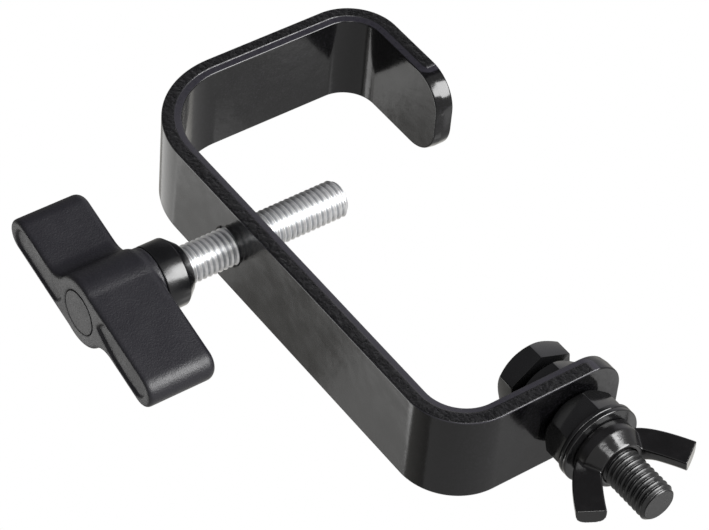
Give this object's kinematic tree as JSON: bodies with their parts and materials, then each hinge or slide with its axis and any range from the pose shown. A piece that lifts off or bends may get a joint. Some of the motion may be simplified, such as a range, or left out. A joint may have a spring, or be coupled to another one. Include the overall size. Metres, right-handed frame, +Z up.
{
  "type": "pipe clamp",
  "caption": "Hook-shaped flat-bar clamp for a horizontal tube: a knobbed screw clamps the tube, and a bolt with a wing nut hangs a lamp below.",
  "frame": {"origin": "centre of the clamped 50 mm tube, on the bar's middle plane", "axes": "+Y along the tube, +X from the knob towards the hook's lip, +Z up"},
  "size_m": [0.115, 0.025, 0.1664],
  "materials": {
    "hook_bar": "glossy black powder coat",
    "clamp_screw": "bright zinc plate",
    "knob_insert": "glossy black",
    "knob": "fine-grained charcoal",
    "knob_cap": "fine-grained charcoal",
    "hex_bolt": "semi-gloss black coating",
    "jam_nut": "semi-gloss black coating",
    "lock_nut": "semi-gloss black coating",
    "upper_washer": "semi-gloss black coating",
    "lower_washer": "semi-gloss black coating",
    "wing_nut": "semi-gloss black coating"
  },
  "bodies": {
    "hook": {"hook_bar": "hook_bar", "hex_bolt": "hex_bolt", "jam_nut": "jam_nut", "lock_nut": "lock_nut", "upper_washer": "upper_washer"},
    "screw_feed": {"knob_cap": "knob_cap"},
    "screw": {"clamp_screw": "clamp_screw", "knob_insert": "knob_insert", "knob": "knob"},
    "nut_feed": {"lower_washer": "lower_washer"},
    "nut": {"wing_nut": "wing_nut"}
  },
  "joints": [
    {"name": "clamp_screw_feed", "type": "slide", "parent": "hook", "child": "screw_feed", "axis": [1, 0, 0], "range_m": [-0.027, 0.01275]},
    {"name": "clamp_screw_turn", "type": "hinge", "parent": "screw_feed", "child": "screw", "pos_m": [-0.038, 0, -0.0174], "axis": [1, 0, 0], "range_deg": [-6480, 3060]},
    {"name": "wing_nut_feed", "type": "slide", "parent": "hook", "child": "nut_feed", "axis": [0, 0, -1], "range_m": [0, 0.0135]},
    {"name": "wing_nut_turn", "type": "hinge", "parent": "nut_feed", "child": "nut", "pos_m": [-0.0063, 0, -0.11555], "axis": [0, 0, -1], "range_deg": [0, 3240]}
  ],
  "couplings": [
    {"joint": "clamp_screw_feed", "follows": "clamp_screw_turn", "m_per_rad": 0.00023873},
    {"joint": "wing_nut_feed", "follows": "wing_nut_turn", "m_per_rad": 0.00023873}
  ]
}
